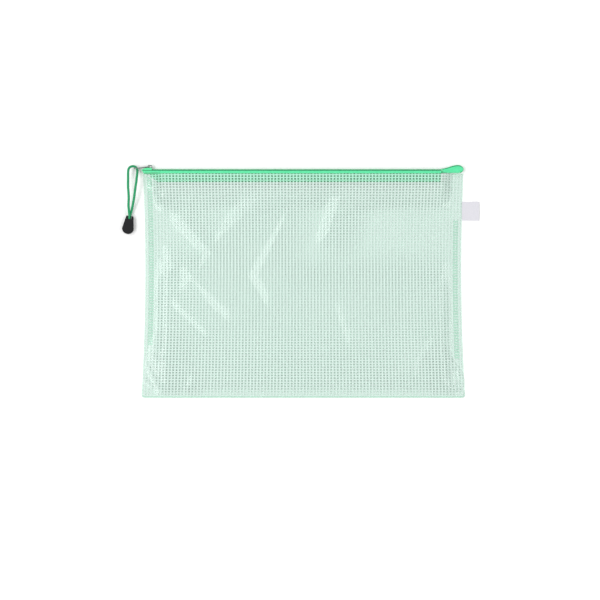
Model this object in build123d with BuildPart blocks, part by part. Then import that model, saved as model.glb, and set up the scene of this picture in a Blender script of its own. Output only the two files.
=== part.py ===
"""Flat document wallet of mesh film with a zip along its top edge, lying on its back panel.

Millimetres. +X runs along the zip, +Y points to the zip edge, +Z points up from the table.
The origin is the middle of the back panel's lower face.
"""
import os
from math import cos, hypot, radians, sin, tan

from build123d import *

os.makedirs("parts", exist_ok=True)

# Film
film_thickness = 0.3
film_height = 232.4
film_top_half_width = 166.0
film_waist_half_width = 163.8
film_bottom_half_width = 167.8
film_waist_above_middle = 22.0
film_corner_radius = 3.0
side_weld_width = 10.0
side_slope_width = 9.0
bottom_weld_width = 8.2

# Front panel's rise and fall, from the zip down to the bottom weld
lip_depth = 13.0
lip_fall = 27.0
valley_length = 27.0
valley_gap = 0.15
crown_rise = 36.0
crown_fall = 26.0
crown_height = 5.6

# Middle of the front that lifts when the mouth opens
lifting_half_width = 100.0

# Zip tape and coil
tape_thickness = 0.5
tape_overlap = 9.4
tape_reveal = 2.1
tape_end_inset = 4.6
lip_gap = 7.2
tape_edge_gap = 0.9
coil_height = 1.6
coil_spine_width = 1.1
coil_spine_inset = 0.1
tooth_gap = 0.45
tooth_width = 1.0
tooth_pitch = 2.0
zip_left_inset = 0.4
zip_right_inset = 23.6

# Stitches
stitch_width = 0.6
stitch_height = 0.25
stitch_above_tape_edge = 1.8

# Zip stops and tail
stop_length = 1.6
tail_length = 21.2
tail_flare = 5.0
tail_depth = 7.3
tail_thickness = 3.2
tail_end_radius = 3.0

# Slider
slider_clearance = 0.3
slider_length = 9.1
slider_top_thickness = 1.0
slider_bottom_thickness = 1.5
slider_leg_clearance = 0.4
flange_thickness = 0.9
flange_clearance = 0.4
diamond_length = 3.0
diamond_clearance = 0.15
diamond_inset = 1.0
nose_length = 3.5
nose_drop = 0.8

# Bridge
bridge_thickness = 0.8
bridge_half_width = 0.9
bridge_opening_length = 3.0
bridge_opening_height = 2.2
bridge_corner_radius = 0.7

# Pull tab
pivot_diameter = 1.0
pivot_clearance = 0.3
tab_thickness = 0.8
tab_half_width = 2.8
tab_droop = 7.4
tab_window_end_clearance = 0.35
tab_window_side_clearance = 0.35
tab_hole_from_pivot = 13.0
tab_hole_diameter = 4.0
tab_tip_wall = 0.9

# Cord loop: points of its middle line, from the knot up, through the tab's hole and back to the knot
cord_diameter = 2.6
cord_points = [
    (-180.2, 66.3, 5.5),
    (-179.5, 71.1, 5.5),
    (-180.2, 77.4, 6.1),
    (-180.6, 83.6, 7.4),
    (-180.0, 89.8, 8.8),
    (-180.2, 96.0, 10.0),
    (-180.7, 102.6, 10.9),
    (-180.5, 109.4, 11.3),
    (-180.6, 115.4, 11.0),
    (-180.4, 120.3, 9.2),
    (-178.9, 122.7, 7.2),
    (-176.3, 123.6, 5.6),
    (-173.9, 123.1, 4.6),
    (-172.2, 121.5, 4.4),
    (-171.6, 119.1, 4.7),
    (-171.4, 116.7, 6.7),
    (-171.5, 114.1, 9.2),
    (-171.7, 110.6, 10.9),
    (-172.1, 106.4, 11.2),
    (-173.2, 100.0, 10.8),
    (-174.4, 91.6, 9.0),
    (-175.9, 84.0, 6.7),
    (-177.7, 77.4, 4.2),
    (-179.5, 71.1, 2.8),
    (-180.2, 66.3, 2.8),
]
arc_share = 0.45

# Cord end
cord_end_top = (-179.3, 72.1)
cord_end_tilt = 9.0
cord_end_length = 18.8
cord_end_top_width = 7.0
cord_end_bottom_width = 11.8
cord_end_shoulder = 13.6
cord_end_thickness = 6.2
cord_end_lift = 1.05
cord_end_edge = 0.8
cord_notch_width = 4.2
cord_notch_depth = 3.2
cord_strand_spacing = 2.7
cord_hole_clearance = 0.1
knot_diameter = 4.2
knot_length = 5.2
knot_depth = 5.9
knot_edge = 1.0
knot_clearance = 0.15
cap_plug_length = 1.4
cap_plug_clearance = 0.1

# Side tag
tag_length = 16.3
tag_width = 19.6
tag_thickness = 0.4
tag_below_film_top = 38.9

# Levels and places that follow from the sizes above
film_top = film_height / 2
film_bottom = -film_height / 2
seam_half_width = film_top_half_width - side_weld_width
crown_half_width = seam_half_width - side_slope_width
zip_middle = film_thickness + tape_thickness + lip_gap / 2
weld_level = 2 * film_thickness
valley_level = 2 * film_thickness + valley_gap
lip_level = 2 * zip_middle

web_bottom = film_top + tape_reveal
web_top = web_bottom + tape_thickness
tape_edge = film_top - tape_overlap
leg_half_width = crown_half_width - tape_end_inset
zip_left = zip_left_inset - film_top_half_width
zip_right = film_top_half_width - zip_right_inset
leg_inner = lip_gap / 2
leg_outer = leg_inner + tape_thickness
coil_top = web_top + coil_height
spine_inner = tape_edge_gap + coil_spine_inset
spine_outer = spine_inner + coil_spine_width
stitch_line = tape_edge + stitch_above_tape_edge

slider_left = zip_left + slider_clearance
slider_right = slider_left + slider_length
slider_half_width = spine_outer + flange_clearance + flange_thickness
slider_bottom_half_width = leg_inner - slider_leg_clearance
diamond_thickness = 2 * (tooth_gap - diamond_clearance)
slider_top_underside = coil_top + slider_clearance
slider_top = slider_top_underside + slider_top_thickness
slider_bottom_upper = web_bottom - slider_clearance
flange_tip = web_top + slider_clearance
slider_travel = zip_right - slider_clearance - slider_right

bridge_half_length = bridge_opening_length / 2 + bridge_thickness
bridge_middle = slider_right - bridge_half_length
pivot_inset = pivot_clearance + pivot_diameter / 2
pivot_x = bridge_middle - bridge_opening_length / 2 + pivot_inset
pivot_y = slider_top + bridge_opening_height - pivot_inset
bridge_top = slider_top + bridge_opening_height + bridge_thickness
tab_window_length = hypot(slider_right - pivot_x, bridge_top - pivot_y) + tab_window_end_clearance
tab_window_half_width = bridge_half_width + tab_window_side_clearance

cord_radius = cord_diameter / 2
cord_end_middle = cord_end_lift + cord_end_thickness / 2


def front_line():
    """Outer line of the front panel's middle: (y, z) points from the zip edge to the bottom edge."""
    fall_end = film_top - lip_depth - lip_fall
    valley_end = fall_end - valley_length
    weld_start = film_bottom + bottom_weld_width
    return [
        (film_top, lip_level),
        (film_top - lip_depth, lip_level),
        (fall_end, valley_level),
        (valley_end, valley_level),
        (valley_end - crown_rise, crown_height),
        (weld_start + crown_fall, crown_height),
        (weld_start, weld_level),
        (film_bottom, weld_level),
    ]


def film_loop(line):
    """Closed loop of a film section: its outer line, and back along the same line one film lower."""
    lower = [(y, z - film_thickness) for y, z in reversed(line)]
    return line + lower


def tape_loop(side, with_leg):
    """Closed (y, z) loop of a zip tape's section, on the front (side 1) or the back (side -1)."""
    edge = zip_middle + side * tape_edge_gap
    inner = zip_middle + side * leg_inner
    outer = zip_middle + side * leg_outer
    if with_leg:
        return [
            (web_top, edge),
            (web_top, outer),
            (tape_edge, outer),
            (tape_edge, inner),
            (web_bottom, inner),
            (web_bottom, edge),
        ]
    return [(web_top, edge), (web_top, outer), (web_bottom, outer), (web_bottom, edge)]


def coil_loop(start, end, side):
    """Closed (x, z) loop of a coil half: a spine along the tape with teeth that point inwards."""
    outer = zip_middle + side * spine_outer
    inner = zip_middle + side * spine_inner
    tips = zip_middle + side * tooth_gap
    count = int((end - start) / tooth_pitch)
    first = (start + end - (count - 1) * tooth_pitch - tooth_width) / 2
    points = [(start, outer), (start, inner)]
    for index in range(count):
        left = first + index * tooth_pitch
        right = left + tooth_width
        points += [(left, inner), (left, tips), (right, tips), (right, inner)]
    return points + [(end, inner), (end, outer)]


def corner_radii(points):
    """Radius at each inner corner of a cord's route, as large as its two runs allow."""
    radii = []
    for before, corner, after in zip(points, points[1:], points[2:]):
        first_run = Vector(*corner) - Vector(*before)
        second_run = Vector(*after) - Vector(*corner)
        half_turn = radians(first_run.get_angle(second_run)) / 2
        shorter = min(first_run.length, second_run.length)
        radii.append(arc_share * shorter / tan(half_turn))
    return radii


# Outline shared by both panels
with BuildSketch() as film_outline:
    with BuildLine():
        Line((-film_top_half_width, film_top), (film_top_half_width, film_top))
        ThreePointArc(
            (film_top_half_width, film_top),
            (film_waist_half_width, film_waist_above_middle),
            (film_bottom_half_width, film_bottom),
        )
        Line((film_bottom_half_width, film_bottom), (-film_bottom_half_width, film_bottom))
        ThreePointArc(
            (-film_bottom_half_width, film_bottom),
            (-film_waist_half_width, film_waist_above_middle),
            (-film_top_half_width, film_top),
        )
    make_face()
    fillet(film_outline.vertices().group_by(Axis.Y)[0], radius=film_corner_radius)

# Back panel
with BuildPart() as back_panel:
    extrude(film_outline.sketch, amount=film_thickness)
back_panel.part.label = "back_panel"
export_step(back_panel.part, "parts/back_panel.step")

# Front panel: the middle that lifts
with BuildPart() as front_panel:
    with BuildSketch(Plane.YZ):
        with BuildLine():
            Polyline(*film_loop(front_line()), close=True)
        make_face()
    extrude(amount=lifting_half_width, both=True)
front_panel.part.label = "front_panel"
export_step(front_panel.part, "parts/front_panel.step")

# Front panel: both sides, sloping down to the flat side welds
with BuildPart() as front_panel_sides:
    with BuildSketch(Plane.YZ.offset(lifting_half_width)):
        with BuildLine():
            Polyline(*film_loop(front_line()), close=True)
        make_face()
    extrude(amount=crown_half_width - lifting_half_width)
    with BuildSketch(Plane.YZ.offset(crown_half_width)):
        with BuildLine():
            Polyline(*film_loop(front_line()), close=True)
        make_face()
    with BuildSketch(Plane.YZ.offset(seam_half_width)):
        with BuildLine():
            Polyline(*film_loop([(y, weld_level) for y, z in front_line()]), close=True)
        make_face()
    loft(ruled=True)
    with BuildSketch(Plane.XY.offset(film_thickness)):
        add(film_outline.sketch)
        with Locations((seam_half_width, 0)):
            Rectangle(
                seam_half_width + 2 * film_bottom_half_width,
                2 * film_height,
                align=(Align.MAX, Align.CENTER),
                mode=Mode.SUBTRACT,
            )
    extrude(amount=film_thickness)
    mirror(about=Plane.YZ)
front_panel_sides.part.label = "front_panel_sides"
export_step(front_panel_sides.part, "parts/front_panel_sides.step")

# Back zip tape: web under the coil, and a leg on the back film
with BuildPart() as back_zip_tape:
    with BuildSketch(Plane.YZ.offset(-leg_half_width)):
        with BuildLine():
            Polyline(*tape_loop(-1, True), close=True)
        make_face()
    extrude(amount=2 * leg_half_width)
    with BuildSketch(Plane.YZ.offset(zip_left)):
        with BuildLine():
            Polyline(*tape_loop(-1, False), close=True)
        make_face()
    extrude(amount=zip_right - zip_left)
back_zip_tape.part.label = "back_zip_tape"
export_step(back_zip_tape.part, "parts/back_zip_tape.step")

# Front zip tape: the middle that lifts
with BuildPart() as front_zip_tape:
    with BuildSketch(Plane.YZ):
        with BuildLine():
            Polyline(*tape_loop(1, True), close=True)
        make_face()
    extrude(amount=lifting_half_width, both=True)
front_zip_tape.part.label = "front_zip_tape"
export_step(front_zip_tape.part, "parts/front_zip_tape.step")

# Front zip tape: both ends
with BuildPart() as front_zip_tape_ends:
    for side in (-1, 1):
        with BuildSketch(Plane.YZ.offset(side * lifting_half_width)):
            with BuildLine():
                Polyline(*tape_loop(1, True), close=True)
            make_face()
        extrude(amount=side * (leg_half_width - lifting_half_width))
    with BuildSketch(Plane.YZ.offset(-lifting_half_width)):
        with BuildLine():
            Polyline(*tape_loop(1, False), close=True)
        make_face()
    extrude(amount=zip_left + lifting_half_width)
    with BuildSketch(Plane.YZ.offset(lifting_half_width)):
        with BuildLine():
            Polyline(*tape_loop(1, False), close=True)
        make_face()
    extrude(amount=zip_right - lifting_half_width)
front_zip_tape_ends.part.label = "front_zip_tape_ends"
export_step(front_zip_tape_ends.part, "parts/front_zip_tape_ends.step")

# Back coil half
coil_plane = Plane.XZ.offset(-web_top)
with BuildPart() as back_zip_coil:
    with BuildSketch(coil_plane):
        with BuildLine():
            Polyline(*coil_loop(zip_left, zip_right, -1), close=True)
        make_face()
    extrude(amount=-coil_height)
back_zip_coil.part.label = "back_zip_coil"
export_step(back_zip_coil.part, "parts/back_zip_coil.step")

# Front coil half: the middle that lifts
with BuildPart() as front_zip_coil:
    with BuildSketch(coil_plane):
        with BuildLine():
            Polyline(*coil_loop(-lifting_half_width, lifting_half_width, 1), close=True)
        make_face()
    extrude(amount=-coil_height)
front_zip_coil.part.label = "front_zip_coil"
export_step(front_zip_coil.part, "parts/front_zip_coil.step")

# Front coil half: both ends
with BuildPart() as front_zip_coil_ends:
    with BuildSketch(coil_plane):
        with BuildLine():
            Polyline(*coil_loop(zip_left, -lifting_half_width, 1), close=True)
        make_face()
        with BuildLine():
            Polyline(*coil_loop(lifting_half_width, zip_right, 1), close=True)
        make_face()
    extrude(amount=-coil_height)
front_zip_coil_ends.part.label = "front_zip_coil_ends"
export_step(front_zip_coil_ends.part, "parts/front_zip_coil_ends.step")

# Row of stitches on the back tape's inner face
back_stitch_level = film_thickness + tape_thickness
with BuildPart() as back_tape_stitch:
    with BuildSketch(Plane.XY.offset(back_stitch_level)):
        with Locations((0, stitch_line)):
            Rectangle(2 * leg_half_width, stitch_width)
    extrude(amount=stitch_height)
back_tape_stitch.part.label = "back_tape_stitch"
export_step(back_tape_stitch.part, "parts/back_tape_stitch.step")

# Row of stitches on the front film: the middle that lifts
with BuildPart() as front_tape_stitch:
    with BuildSketch(Plane.XY.offset(lip_level)):
        with Locations((0, stitch_line)):
            Rectangle(2 * lifting_half_width, stitch_width)
    extrude(amount=stitch_height)
front_tape_stitch.part.label = "front_tape_stitch"
export_step(front_tape_stitch.part, "parts/front_tape_stitch.step")

# Row of stitches on the front film: both ends
with BuildPart() as front_tape_stitch_ends:
    with BuildSketch(Plane.XY.offset(lip_level)):
        for side, edge in ((-1, Align.MAX), (1, Align.MIN)):
            with Locations((side * lifting_half_width, stitch_line)):
                Rectangle(
                    leg_half_width - lifting_half_width,
                    stitch_width,
                    align=(edge, Align.CENTER),
                )
    extrude(amount=stitch_height)
front_tape_stitch_ends.part.label = "front_tape_stitch_ends"
export_step(front_tape_stitch_ends.part, "parts/front_tape_stitch_ends.step")

# Sewn stops at both ends of the zip
stop_middle_y = (web_bottom + coil_top) / 2
stop_depth = coil_top - web_bottom
with BuildPart() as zip_stop_left:
    with BuildSketch(Plane.YZ.offset(zip_left)):
        with Locations((stop_middle_y, zip_middle)):
            Rectangle(stop_depth, 2 * spine_outer)
    extrude(amount=-stop_length)
zip_stop_left.part.label = "zip_stop_left"
export_step(zip_stop_left.part, "parts/zip_stop_left.step")

with BuildPart() as zip_stop_right:
    with BuildSketch(Plane.YZ.offset(zip_right)):
        with Locations((stop_middle_y, zip_middle)):
            Rectangle(stop_depth, 2 * spine_outer)
    extrude(amount=stop_length)
zip_stop_right.part.label = "zip_stop_right"
export_step(zip_stop_right.part, "parts/zip_stop_right.step")

# Free tail of the zip, folded shut and flaring up past the right stop
tail_left = zip_right + stop_length
tail_right = tail_left + tail_length
with BuildPart() as zip_tail:
    with BuildSketch(Plane.XY.offset(zip_middle)) as tail_outline:
        with BuildLine():
            Polyline(
                (tail_left, web_bottom),
                (tail_left, coil_top),
                (tail_right, coil_top + tail_flare),
                (tail_right, coil_top + tail_flare - tail_depth),
                close=True,
            )
        make_face()
        fillet(tail_outline.vertices().group_by(Axis.X)[-1], radius=tail_end_radius)
    extrude(amount=tail_thickness / 2, both=True)
zip_tail.part.label = "zip_tail"
export_step(zip_tail.part, "parts/zip_tail.step")

# Slider body
with BuildPart() as slider_body:
    with BuildSketch(Plane.YZ.offset(slider_left)):
        with Locations((slider_top_underside, zip_middle)):
            Rectangle(
                slider_top_thickness,
                2 * slider_half_width,
                align=(Align.MIN, Align.CENTER),
            )
        for side, edge in ((-1, Align.MIN), (1, Align.MAX)):
            with Locations((slider_top, zip_middle + side * slider_half_width)):
                Rectangle(slider_top - flange_tip, flange_thickness, align=(Align.MAX, edge))
        with Locations((slider_bottom_upper, zip_middle)):
            Rectangle(
                slider_bottom_thickness,
                2 * slider_bottom_half_width,
                align=(Align.MAX, Align.CENTER),
            )
    extrude(amount=slider_length)
    with BuildSketch(Plane.XZ.offset(-slider_bottom_upper)):
        with Locations((slider_left + diamond_inset, zip_middle)):
            Rectangle(diamond_length, diamond_thickness, align=(Align.MIN, Align.CENTER))
    extrude(amount=slider_bottom_upper - slider_top_underside)
    with BuildSketch(Plane.XY):
        with BuildLine():
            Polyline(
                (slider_left, slider_top - nose_drop),
                (slider_left + nose_length, slider_top),
                (slider_left, slider_top),
                close=True,
            )
        make_face()
    extrude(amount=2 * zip_middle, mode=Mode.SUBTRACT)
slider_body.part.label = "slider_body"
export_step(slider_body.part, "parts/slider_body.step")

# Slider bridge: a hoop on the top plate
with BuildPart() as slider_bridge:
    with BuildSketch(Plane.XY.offset(zip_middle)) as hoop:
        with Locations((bridge_middle, slider_top)):
            Rectangle(
                2 * bridge_half_length,
                bridge_top - slider_top,
                align=(Align.CENTER, Align.MIN),
            )
        fillet(hoop.vertices().group_by(Axis.Y)[-1], radius=bridge_corner_radius)
        with Locations((bridge_middle, slider_top)):
            Rectangle(
                bridge_opening_length,
                bridge_opening_height,
                align=(Align.CENTER, Align.MIN),
                mode=Mode.SUBTRACT,
            )
    extrude(amount=bridge_half_width, both=True)
slider_bridge.part.label = "slider_bridge"
export_step(slider_bridge.part, "parts/slider_bridge.step")

# Pull tab: a strip that droops to the left from its pivot bar
droop = radians(tab_droop)
tab_plane = Plane(
    origin=(pivot_x, pivot_y, zip_middle),
    x_dir=(-cos(droop), -sin(droop), 0),
    z_dir=(-sin(droop), cos(droop), 0),
)
tab_tip = tab_hole_from_pivot + tab_hole_diameter / 2 + tab_tip_wall
with BuildPart() as pull_tab:
    with BuildSketch(tab_plane) as strip:
        Rectangle(tab_tip, 2 * tab_half_width, align=(Align.MIN, Align.CENTER))
        fillet(strip.vertices().group_by(Axis.X)[-1], radius=tab_half_width - tab_tip_wall)
        Rectangle(
            tab_window_length,
            2 * tab_window_half_width,
            align=(Align.MIN, Align.CENTER),
            mode=Mode.SUBTRACT,
        )
        with Locations((tab_hole_from_pivot, 0)):
            Circle(tab_hole_diameter / 2, mode=Mode.SUBTRACT)
    extrude(amount=tab_thickness / 2, both=True)
    with BuildSketch(Plane.XY.offset(zip_middle - tab_half_width)):
        with Locations((pivot_x, pivot_y)):
            Circle(pivot_diameter / 2)
    extrude(amount=2 * tab_half_width)
pull_tab.part.label = "pull_tab"
export_step(pull_tab.part, "parts/pull_tab.step")

# Pull cord: a tube along straight runs and tangent arcs
cord_radii = corner_radii(cord_points)
print("cord radii:", [round(radius, 1) for radius in cord_radii])
with BuildPart() as pull_cord:
    with BuildLine() as cord_path:
        FilletPolyline(*cord_points, radius=cord_radii)
    with BuildSketch(Plane(origin=cord_path.line @ 0, z_dir=cord_path.line % 0)):
        Circle(cord_radius)
    sweep()
pull_cord.part.label = "pull_cord"
export_step(pull_cord.part, "parts/pull_cord.step")
print("cord length:", round(cord_path.wires()[0].length, 1))

# Cord end: outer shape of the moulded shell and its cap
tilt = radians(cord_end_tilt)
across = (cos(tilt), -sin(tilt), 0)
downwards = (-sin(tilt), -cos(tilt), 0)
shell_origin = (*cord_end_top, cord_end_middle)
shell_face = Plane(origin=shell_origin, x_dir=across, z_dir=(0, 0, 1))
shell_axis = Plane(origin=shell_origin, x_dir=across, z_dir=downwards)
parting_plane = shell_axis.offset(cord_end_shoulder)
cavity_radius = knot_diameter / 2 + knot_clearance
with BuildPart() as cord_end_shape:
    with BuildSketch(shell_face) as shell_outline:
        with BuildLine():
            Polyline(
                (-cord_end_bottom_width / 2, -cord_end_shoulder),
                (-cord_end_top_width / 2, 0),
                (cord_end_top_width / 2, 0),
                (cord_end_bottom_width / 2, -cord_end_shoulder),
            )
            ThreePointArc(
                (cord_end_bottom_width / 2, -cord_end_shoulder),
                (0, -cord_end_length),
                (-cord_end_bottom_width / 2, -cord_end_shoulder),
            )
        make_face()
        fillet(shell_outline.vertices(), radius=cord_end_edge)
    extrude(amount=cord_end_thickness / 2, both=True)
    rims = cord_end_shape.faces().filter_by(Axis.Z).edges()
    fillet(rims, radius=cord_end_edge)

# Cord end body: shell with a notch and two holes for the cord, hollow around the knot
with BuildPart() as cord_end_body:
    add(cord_end_shape.part)
    split(bisect_by=parting_plane, keep=Keep.BOTTOM)
    with BuildSketch(shell_face):
        Rectangle(cord_notch_width, 2 * cord_notch_depth)
    extrude(amount=cord_end_thickness, both=True, mode=Mode.SUBTRACT)
    with BuildSketch(shell_axis.offset(cord_notch_depth)):
        with GridLocations(0, cord_strand_spacing, 1, 2):
            Circle(cord_radius + cord_hole_clearance)
    extrude(amount=knot_depth - cord_notch_depth, mode=Mode.SUBTRACT)
    with BuildSketch(shell_axis.offset(knot_depth)):
        Circle(cavity_radius)
    extrude(amount=cord_end_shoulder - knot_depth, mode=Mode.SUBTRACT)
cord_end_body.part.label = "cord_end_body"
export_step(cord_end_body.part, "parts/cord_end_body.step")

# Cord end cap: the rounded foot, with a plug that closes the shell
with BuildPart() as cord_end_cap:
    add(cord_end_shape.part)
    split(bisect_by=parting_plane, keep=Keep.TOP)
    with BuildSketch(shell_axis.offset(cord_end_shoulder - cap_plug_length)):
        Circle(cavity_radius - cap_plug_clearance)
    extrude(amount=cap_plug_length)
cord_end_cap.part.label = "cord_end_cap"
export_step(cord_end_cap.part, "parts/cord_end_cap.step")

# Knot inside the shell, where the cord's two ends meet
with BuildPart() as cord_knot:
    with BuildSketch(shell_axis.offset(knot_depth)):
        Circle(knot_diameter / 2)
    extrude(amount=knot_length)
    fillet(cord_knot.edges().filter_by(GeomType.CIRCLE), radius=knot_edge)
cord_knot.part.label = "cord_knot"
export_step(cord_knot.part, "parts/cord_knot.step")

# Side tag: starts at the film's right edge, at the height of the weld
tag_inner = film_top_half_width - side_weld_width
tag_outer = film_top_half_width + tag_length
with BuildPart() as side_tag:
    with BuildSketch(Plane.XY.offset(weld_level / 2)):
        with Locations((tag_inner, film_top - tag_below_film_top)):
            Rectangle(tag_outer - tag_inner, tag_width, align=(Align.MIN, Align.CENTER))
        add(film_outline.sketch, mode=Mode.SUBTRACT)
    extrude(amount=tag_thickness / 2, both=True)
side_tag.part.label = "side_tag"
export_step(side_tag.part, "parts/side_tag.step")

print("slider travel:", round(slider_travel, 2))
print("tab pivot:", round(pivot_x, 2), round(pivot_y, 2), "zip middle:", round(zip_middle, 2))
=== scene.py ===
"""Looks of a zipped mesh document wallet, lying on its back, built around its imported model.

Sizes are in millimetres until a mesh, a light or the camera is made. X runs along the zip, Y towards
the zip edge and Z up, with the origin under the middle of the back panel.
"""
import math

import bmesh
import bpy
import numpy as np
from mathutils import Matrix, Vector


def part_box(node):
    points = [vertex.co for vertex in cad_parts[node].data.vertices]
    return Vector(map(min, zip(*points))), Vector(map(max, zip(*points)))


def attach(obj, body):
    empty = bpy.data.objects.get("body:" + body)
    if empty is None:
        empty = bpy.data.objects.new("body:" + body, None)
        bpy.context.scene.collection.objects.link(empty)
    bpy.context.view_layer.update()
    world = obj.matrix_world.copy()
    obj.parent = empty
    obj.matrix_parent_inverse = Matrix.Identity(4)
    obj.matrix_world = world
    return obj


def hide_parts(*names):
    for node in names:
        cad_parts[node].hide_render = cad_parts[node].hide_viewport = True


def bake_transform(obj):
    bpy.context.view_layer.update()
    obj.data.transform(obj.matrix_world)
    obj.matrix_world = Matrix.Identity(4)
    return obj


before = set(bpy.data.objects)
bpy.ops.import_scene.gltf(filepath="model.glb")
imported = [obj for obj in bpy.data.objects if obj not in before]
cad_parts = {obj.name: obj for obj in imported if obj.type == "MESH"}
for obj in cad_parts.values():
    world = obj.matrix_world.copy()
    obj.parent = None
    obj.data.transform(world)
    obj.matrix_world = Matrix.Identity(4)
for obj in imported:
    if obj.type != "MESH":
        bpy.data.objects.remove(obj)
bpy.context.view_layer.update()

MM = 0.001
TINY = 0.001  # a length too short to matter
SHARP_ANGLE = 40.0  # degrees past which an edge is shaded as sharp
ROUND_ANGLE = 80.0  # the same on coils and cords

# Film: outline, heights of the middle surfaces, and points of the grid that carries them
FILM_TOP = 116.2
FILM_BOTTOM = -116.2
FILM_THICKNESS = 0.3
EDGE_KNOTS = ((FILM_BOTTOM, 167.8), (22.0, 163.8), (FILM_TOP, 166.0))
CORNER_RADIUS = 3.0
CORNER_FADE = 12.0
BACK_LEVEL = 0.17
WELD_LEVEL = 0.47
FRONT_PROFILE = ((FILM_BOTTOM, WELD_LEVEL), (-114.0, WELD_LEVEL), (-98.0, 3.2), (-58.0, 4.2), (-14.0, 4.2),
                 (46.0, 0.62), (74.0, 0.62), (106.0, 8.65), (FILM_TOP, 8.65))
SEAM_HALF_WIDTH = 156.0  # outside this the two films lie together
CROWN_HALF_WIDTH = 140.0  # inside this the front film has its full height
LIP_HALF_WIDTH = 144.0  # the same along the zip
LIP_START = 84.0
FINE_SHARE = 0.8
FINE_BELOW = -60.0
FILM_COLUMNS = (90, 36)
FILM_ROWS = (52, 116)

# Yarns in the films: warps along Y, wefts along X, and the points along each
WARP_PITCH = 3.40
WEFT_PITCH = 2.82
WARP_WIDTH = 1.5
WEFT_WIDTH = 1.2
YARN_LIFT = 0.06
YARN_THICKNESS = 0.11
YARN_MARGIN = 0.6
WEFT_START = 2.2
WARP_POINTS = (112, 5)
BACK_WEFT_POINTS = 120
FRONT_WEFT_POINTS = 84
BACK_NET_SHIFT = 0.6
BACK_NET_LEAN = 0.004

# Welds: ladders of rungs along both sides and a rib along the bottom
LADDER_INSET = 3.8
LADDER_WIDTH = 5.2
LADDER_SPANS = {"left": (-62.0, 114.0), "right": (-77.0, 68.0)}
RUNG_WIDTH = 1.5
RUNG_HEIGHT = 0.16
RUNG_SECTION = (-0.5, -0.3, 0.3, 0.5)
RUNG_SWELL = (0.0, 1.0, 1.0, 1.0, 1.0, 0.0)
RIB_LINE = -115.3
RIB_WIDTH = 1.1
RIB_HEIGHT = 0.14
RIB_SECTION = (-0.5, -0.25, 0.25, 0.5)
RIB_MARGIN = 1.5 * YARN_MARGIN
RIB_POINTS = 60
WELD_SWELL = (0.0, 1.0, 1.0, 0.0)
WELD_RIM = 0.03

# Creases of the front film: crest points downwards, side of the steep flank (-1 is -X), its reach, height
CREASES = (
    (((-120.0, 64.0), (-93.0, 34.0), (-114.0, 8.0)), -1.0, 13.0, 2.45),
    (((-114.0, 8.0), (-75.0, -26.0)), -1.0, 12.0, 2.9),
    (((-42.0, 90.0), (-84.0, 50.0)), -1.0, 16.0, 3.2),
    (((-137.0, 34.0), (-134.0, 20.0), (-140.0, 8.0)), -1.0, 9.0, 1.0),
    (((-125.0, -22.0), (-99.0, -46.0)), -1.0, 8.0, 1.5),
    (((-18.0, 71.0), (-31.0, 42.0), (-46.0, 11.0), (-34.0, -9.0)), -1.0, 11.0, 2.5),
    (((40.0, 94.0), (27.0, 55.0)), -1.0, 13.0, 3.3),
    (((41.0, -22.0), (51.0, -56.0)), -1.0, 9.0, 1.9),
    (((123.0, -62.0), (112.0, -84.0)), 1.0, 9.0, 1.8),
)
# Creases that both films share near the corners, in the same form
FOLDS = (
    (((-148.0, -68.0), (-151.0, -83.0), (-146.0, -97.0)), -1.0, 13.0, 2.3),
    (((-114.0, -97.0), (-117.0, -106.0)), -1.0, 6.0, 1.3),
    (((147.0, -78.0), (149.0, -92.0), (152.0, -104.0)), 1.0, 9.0, 1.7),
    (((-148.0, 102.0), (-147.0, 90.0)), -1.0, 8.0, 1.4),
)
GENTLE_FLANK = 3.0  # the gentle flank's reach over the steep one's
# Crumples that both films share near the corners: line, width, height
CRUMPLES = (
    (((-164.0, -70.0), (-155.0, -68.0), (-147.0, -74.0)), 3.2, 0.6),
    (((-158.0, -80.0), (-153.0, -92.0), (-148.0, -101.0)), 3.4, 0.7),
    (((-166.0, -96.0), (-157.0, -104.0)), 2.8, 0.6),
    (((-143.0, -92.0), (-138.0, -107.0)), 3.2, 0.7),
    (((153.0, -78.0), (161.0, -88.0), (165.0, -101.0)), 3.0, 1.5),
    (((148.0, -104.0), (158.0, -107.0)), 2.4, 1.0),
    (((160.0, -101.0), (166.0, -113.0)), 1.8, 1.3),
    (((-158.0, 104.0), (-150.0, 97.0), (-146.0, 89.0)), 2.6, 1.2),
)

# Stretch of Y that the front film's creases take up, and how they fade at its ends
LOOSE_BOTTOM = -112.0
LOOSE_BOTTOM_FADE = 16.0
LOOSE_TOP = 100.0
LOOSE_TOP_FADE = 12.0

# Zip tapes: a leg along the film, a bend, and a web that reaches in to the coil
ZIP_MIDDLE = 4.4
ZIP_HALF_HEIGHT = 4.1
ZIP_LEFT = -165.6
ZIP_RIGHT = 142.4
TAPE_THICKNESS = 0.5
TAPE_OUTER_EDGE = 118.55
TAPE_BEND = 1.1
TAPE_STEP = 1.0
TAPE_SHOWN = 115.6  # above this the tape is bare; below it, under the film, its green is painted darker as shade
WEB_INNER = 1.0
LEG_CUT = ((ZIP_LEFT, 116.0), (-160.5, 115.6), (-150.0, 106.8))  # X and Y of the legs' inner edge
LEG_START, LEG_EDGE = LEG_CUT[-1]
LEG_STACK = 1.1  # how far the legs lift the front film at the left end
LEG_EASE = 2.0
LEG_POINTS = 14
BEND_POINTS = 6
WEB_POINTS = 4

# Zip coil: middle and half size along Y and Z, the filament, and the core inside it
COIL_PITCH = 1.5
COIL_MIDDLE = (119.62, 1.27)
COIL_HALF = (0.5, 0.54)
COIL_TURN_POINTS = 10
FILAMENT = 0.62
FILAMENT_SIDES = 5
COIL_CORE = 1.2
CORE_POINTS = 60
CORE_SIDES = 8

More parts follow.
